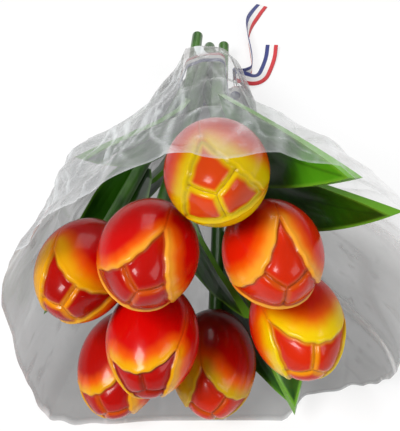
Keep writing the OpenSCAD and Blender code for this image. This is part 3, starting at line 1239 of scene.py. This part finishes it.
@dataclass
class Ribbon:
    """The striped ribbon: a band round the stems, its knot and its two tails, in millimetres."""

    material: bpy.types.Material
    width: float = 10
    thick: float = 0.35
    gap: float = 0.3
    crown: float = 0.1
    knot_share: float = 0.97
    slot: str = "ribbon_red_white_blue"
    tail_left: tuple[Bend, ...] = (
        Bend(20.4, 5.3, 18, 82), Bend(20.2, 14, 18, 84), Bend(20.2, 23, 15, 86),
        Bend(23.5, 28, 11, 88), Bend(29.5, 33, 8, 90), Bend(35, 41, 5.5, 90),
        Bend(36, 53, 5.4, 90), Bend(35, 70, 5.4, 88), Bend(34, 86, 5.2, 80),
        Bend(36, 104, 4.4, 50), Bend(42, 122, 2, 15), Bend(48, 135, 1, 0),
    )
    tail_right: tuple[Bend, ...] = (
        Bend(22.4, 5.3, 17, 80), Bend(22.3, 16, 16, 82), Bend(22.4, 23.5, 13, 80),
        Bend(27.5, 27, 9, 62), Bend(36.5, 30.5, 4, 30), Bend(43, 37, 1.6, 8),
        Bend(47, 47, 1, 0), Bend(51, 61, 2, -4), Bend(53, 75, 4, -6),
    )
    tree: bpy.types.NodeTree = field(init=False)
    sockets: dict[str, str] = field(init=False)

    def __post_init__(self) -> None:
        """Build the Geometry Nodes tree that turns a line of points into a woven strip."""
        self.tree = bpy.data.node_groups.new("woven_strip", "GeometryNodeTree")
        face = self.tree.interface
        kinds = {"Line": "Geometry", "Width": "Float", "Thickness": "Float", "Steps": "Int",
                 "Weave": "Material"}
        for name, kind in kinds.items():
            face.new_socket(name, in_out="INPUT", socket_type="NodeSocket" + kind)
        face.new_socket("Strip", in_out="OUTPUT", socket_type="NodeSocketGeometry")
        self.sockets = {
            item.name: item.identifier for item in face.items_tree
            if item.item_type == "SOCKET" and item.in_out == "INPUT"
        }
        graph = Graph(self.tree)
        given = self.tree.nodes.new("NodeGroupInput").outputs
        number = {"data_type": "FLOAT"}

        line = graph.node("GeometryNodeMeshToCurve", {}, {0: given["Line"]})
        turn = graph.node("GeometryNodeInputNamedAttribute", number, {"Name": "turn"}, "Attribute")
        line = graph.node("GeometryNodeSetCurveTilt", {}, {"Curve": line, "Tilt": turn})
        line = graph.node("GeometryNodeSetCurveNormal", {"mode": "Z_UP"}, {"Curve": line})
        line = graph.node(
            "GeometryNodeResampleCurve", {}, {"Curve": line, "Count": given["Steps"]})
        along = graph.node("GeometryNodeSplineParameter", {}, {}, "Length")
        line = graph.node("GeometryNodeStoreNamedAttribute", number,
                          {"Geometry": line, "Name": "along", "Value": along})

        section = graph.node("GeometryNodeCurvePrimitiveQuadrilateral", {},
                             {"Width": given["Width"], "Height": given["Thickness"]})
        section = graph.node("GeometryNodeResampleCurve", {}, {"Curve": section, "Count": 24})
        place = graph.node("GeometryNodeInputPosition", {}, {})
        across = graph.node("ShaderNodeSeparateXYZ", {}, {0: place}, "X") / given["Width"] + 0.5
        section = graph.node("GeometryNodeStoreNamedAttribute", number,
                             {"Geometry": section, "Name": "across", "Value": across})

        strip = graph.node("GeometryNodeCurveToMesh", {},
                           {"Curve": line, "Profile Curve": section, "Fill Caps": True})
        strip = graph.node("GeometryNodeRealizeInstances", {}, {0: strip})
        strip = graph.node("GeometryNodeSetMaterial", {},
                           {"Geometry": strip, "Material": given["Weave"]})
        self.tree.links.new(strip.socket, self.tree.nodes.new("NodeGroupOutput").inputs[0])

    def strip(self, name: str, line: Array, turns: Array) -> bpy.types.Object:
        """Run the strip maker along a line.

        Args:
            name: The piece's name.
            line: Points in metres.
            turns: The strip's turn at each point, in radians.

        Returns:
            The strip as a plain mesh object.
        """
        edges = [(k, k + 1) for k in range(len(line) - 1)]
        guide = new_object(
            name + "_line", new_mesh(name + "_line", line, edges, [], {"turn": turns}))
        modifier = guide.modifiers.new("woven_strip", "NODES")
        modifier.node_group = self.tree
        values = {"Width": self.width * MM, "Thickness": self.thick * MM, "Steps": len(line),
                  "Weave": self.material}
        for key, value in values.items():
            modifier[self.sockets[key]] = value
        bpy.context.view_layer.update()
        shape = guide.evaluated_get(bpy.context.evaluated_depsgraph_get())
        made = new_object(name, bpy.data.meshes.new_from_object(shape))
        bpy.data.objects.remove(guide)
        dress(made, self.material)
        return made

    def _smooth_line(self, bends: Sequence[Bend], per: int = 8) -> tuple[Array, Array]:
        """Pass a smooth line through the bends.

        Args:
            bends: The bends.
            per: Points on each span.

        Returns:
            Points in metres and turns in radians.
        """
        spots = np.array([(b.x, b.y, b.z, b.turn) for b in bends], dtype=float)
        padded = np.concatenate([2 * spots[:1] - spots[1:2], spots, 2 * spots[-1:] - spots[-2:-1]])
        out = []
        for k in range(len(spots) - 1):
            p0, p1, p2, p3 = padded[k:k + 4]
            for u in np.arange(per) / per:
                out.append(0.5 * (2 * p1 + (p2 - p0) * u + (2 * p0 - 5 * p1 + 4 * p2 - p3) * u ** 2
                                  + (3 * p1 - p0 - 3 * p2 + p3) * u ** 3))
        out.append(spots[-1])
        line = np.array(out)
        return (line[:, :3] + BUNCH.tie) * MM, np.radians(line[:, 3])

    def _band_line(self, count: int = 96) -> Array:
        """Return the line of the band's outer side round all the stems.

        Args:
            count: Number of points, evenly turned round the bundle.

        Returns:
            The points, in metres.
        """
        corners = []
        for i in range(len(BUNCH.heads)):
            way = BUNCH.way(i)
            reach = BUNCH.stem_r / abs(way[1]) + self.gap + self.thick
            for y in (-self.width / 2, self.width / 2):
                spot = BUNCH.crossing(i) + way * (y / way[1])
                corners.append((spot[0], spot[2], reach))
        line = []
        for a in ring_angles(count):
            cos, sin = math.cos(a), math.sin(a)
            x, z, r = max(corners, key=lambda corner: corner[0] * cos + corner[1] * sin + corner[2])
            line.append((x + r * cos, 0.0, z + r * sin))
        return (np.array(line) + BUNCH.tie) * MM

    def build(self) -> None:
        """Make the band, the knot and the tails."""
        line = self._band_line()
        steps = np.linalg.norm(np.diff(line, axis=0, append=line[:1]), axis=1)
        band = self._band(line[steps > 2e-5])
        stand_in(band, "wrap", "ribbon_band")
        stand_in(self._knot(), "wrap", "ribbon_knot")
        for name, bends in (("left", self.tail_left), ("right", self.tail_right)):
            line, turns = self._smooth_line(bends)
            tail = self.strip(f"ribbon_{name}_tail", line, turns)
            stand_in(tail, "wrap", f"ribbon_tail_{name}")

    def _band(self, line: Array, across: int = 9) -> bpy.types.Object:
        """Loft the band round the bundle.

        Args:
            line: The band's outer line, in metres.
            across: Points over the band's width.

        Returns:
            The band's object.
        """
        count = len(line)
        half = count * across
        lengths = np.append(0, np.cumsum(np.linalg.norm(np.diff(line, axis=0), axis=1)))
        shares = np.linspace(0, 1, across)
        out = (line - line.mean(axis=0)) * (1, 0, 1)
        out = (out / np.linalg.norm(out, axis=1)[:, None])[:, None]
        rise = (self.crown * np.sin(shares * math.pi))[:, None]
        over = np.stack([0 * shares, (shares - 0.5) * self.width, 0 * shares], -1)
        sides = [line[:, None] + (out * (side + rise) + over) * MM for side in (0, -self.thick)]
        faces = []
        for k in range(count):
            here, there = k * across, (k + 1) % count * across
            for j in range(across - 1):
                quad = (here + j, here + j + 1, there + j + 1, there + j)
                faces += [quad, tuple(corner + half for corner in reversed(quad))]
            for j, flip in ((0, False), (across - 1, True)):
                rim = (here + j, there + j, there + j + half, here + j + half)
                faces.append(tuple(reversed(rim)) if flip else rim)
        marks = {"along": np.tile(np.repeat(lengths, across), 2), "across": np.tile(shares, 2 * count)}
        return new_piece("tie_band", np.array(sides).reshape(-1, 3), faces, self.material, marks)

    def _knot(self, rings: int = 31, steps: int = 56) -> bpy.types.Object:
        """Make the knot: a tight barrel of folded ribbon.

        Args:
            rings: Rings along the barrel, with its poles.
            steps: Points in a ring.

        Returns:
            The knot's object.
        """
        low, high = np.array(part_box("ribbon_knot"))
        centre, half = (low + high) / 2, (high - low) / 2
        v, a = np.meshgrid(np.linspace(0, 1, rings), ring_angles(steps), indexing="ij")
        bulge, axis = np.sin(math.pi * v), np.cos(math.pi * v)
        fold = 1 - 0.07 * (0.5 + 0.5 * np.cos(5 * a + 3 * axis)) * bulge
        pinch = np.abs(bulge) ** 0.55 * (1 - 0.1 * bell(v - 0.5, 0.09)) * fold
        shape = half * np.stack([pinch * np.cos(a), -axis, pinch * np.sin(a)], -1)
        faces = [tuple(reversed(face)) for face in capped_faces(rings, steps)]
        return new_piece("tie_knot", capped(centre + self.knot_share * shape), faces, self.material,
                         {"along": capped(0.03 * a / math.pi), "across": capped(v)})


# Stage


class Lamp(Enum):
    """The studio's soft lamps: place, size in metres and power in watts."""

    KEY = ((-0.6, -0.7, 1.1), 0.5, 19.0)
    FILL = ((0.95, -0.6, 0.8), 0.7, 6.0)
    BACK = ((0.1, 0.9, 1.0), 0.7, 7.0)


@dataclass
class Studio:
    """A pale table, soft lamps and the camera."""

    focal_px: float = 900
    picture_w: float = 400
    sensor_w: float = 36
    elevation: float = 47
    camera_at: Vec = (-0.0033, -0.4442, 0.441)
    aim: Vec = (0, -0.08, 0.06)
    world_light: float = 0.22
    table_reach: float = 60
    table_grey: Vec = (0.86, 0.86, 0.86)
    table_glow: float = 0.72

    def _look(self, made: bpy.types.Object, target: Vec) -> None:
        """Turn an object's -Z axis toward a point."""
        line = np.array(target) - np.array(made.location)
        flat = math.hypot(line[0], line[1])
        made.rotation_euler = (
            math.pi / 2 + math.atan2(line[2], flat), 0, math.atan2(line[1], line[0]) - math.pi / 2)

    def camera(self) -> None:
        """Set the camera at the photograph's angle."""
        lens = bpy.data.cameras.new("camera")
        lens.sensor_fit = "HORIZONTAL"
        lens.sensor_width = self.sensor_w
        lens.lens = self.sensor_w * self.focal_px / self.picture_w
        lens.clip_start = 0.01
        made = new_object("camera", lens)
        made.location = self.camera_at
        made.rotation_euler = (math.radians(90 - self.elevation), 0, 0)
        bpy.context.scene.camera = made

    def lamps(self) -> None:
        """Hang the soft lamps and set the world's plain light."""
        for lamp in Lamp:
            place, size, power = lamp.value
            light = bpy.data.lights.new(lamp.name.lower(), "AREA")
            light.size = size
            light.energy = power
            made = new_object(lamp.name.lower(), light)
            made.location = place
            self._look(made, self.aim)
        world = bpy.data.worlds.new("studio")
        world.use_nodes = True
        background = world.node_tree.nodes["Background"]
        background.inputs[0].default_value = (1, 1, 1, 1)
        background.inputs[1].default_value = self.world_light
        bpy.context.scene.world = world

    def table(self) -> None:
        """Lay the pale table under the bunch, glowing toward the camera like a lit backdrop."""
        paint = Paint("table_white")
        paint.feed("Base Color", self.table_grey)
        paint.feed("Roughness", 0.7)
        direct, glossy, through = (
            paint.node("ShaderNodeLightPath", {}, {}, f"Is {ray} Ray")
            for ray in ("Camera", "Glossy", "Transmission"))
        glow = paint.node("ShaderNodeEmission", {}, {0: (1, 1, 1, 1)})
        share = (direct + glossy + through) * self.table_glow
        mixed = paint.node(
            "ShaderNodeMixShader", {}, {0: share, 1: paint.shader.outputs[0], 2: glow})
        paint.tree.links.new(mixed.socket, paint.output.inputs[0])
        corners = ((-1, -1, 0), (1, -1, 0), (1, 1, 0), (-1, 1, 0))
        points = self.table_reach * np.array(corners)
        new_piece("table", points, [(0, 1, 2, 3)], paint.material)

    def build(self) -> None:
        """Set up the whole studio."""
        self.camera()
        self.lamps()
        self.table()
        bpy.context.scene.view_settings.view_transform = "Standard"


def lacquers() -> list[HeadLacquer]:
    """Return the eight heads' lacquers.

    Returns:
        One lacquer for each tulip, in order.
    """
    red, bright = linear(184, 5, 3), linear(196, 26, 3)
    dark, pad, warm = linear(160, 9, 3), linear(190, 36, 4), linear(200, 62, 10)
    lemon, gold, pale = linear(212, 180, 2), linear(210, 148, 3), linear(218, 146, 38)
    brass, rust, wine = linear(206, 128, 4), linear(176, 66, 6), linear(138, 24, 3)
    return [
        HeadLacquer(1, 0.009, 0.0155, 0.022, bright, warm, lemon, lemon, 125, 0.006, 0.0022),
        HeadLacquer(2, 0.0025, 0.0065, 0.0115, red, dark, pale, rust, 130, 0.003),
        HeadLacquer(3, 0.0035, 0.0085, 0.0135, bright, pad, pale, rust, 90, 0.002),
        HeadLacquer(4, 0.006, 0.012, 0.018, red, dark, gold, brass, 0, 0.008),
        HeadLacquer(5, 0.003, 0.007, 0.012, dark, dark, gold, rust, 120, 0.003),
        HeadLacquer(6, 0.004, 0.008, 0.013, red, dark, gold, wine, 100, 0.003),
        HeadLacquer(7, 0.007, 0.013, 0.02, dark, pad, linear(186, 148, 4), rust, 50, 0.006),
        HeadLacquer(8, 0.009, 0.015, 0.022, bright, pad, lemon, brass, 135, 0.006, 0.0012),
    ]


def main() -> None:
    """Dress the frame: tulips, film, ribbon and studio."""
    logging.basicConfig(level=logging.INFO, format="%(name)s: %(message)s")
    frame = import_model()
    bpy.context.view_layer.update()
    nodes = frame["nodes"]
    Studio().build()
    stem = StemPaint().material()
    for lacquer in lacquers():
        Tulip(lacquer.number, lacquer).build(nodes, stem)
    Sleeve().build(SleeveFilm().material(), nodes)
    Ribbon(RibbonWeave().material()).build()
    bpy.context.view_layer.update()


if __name__ == "__main__":
    main()
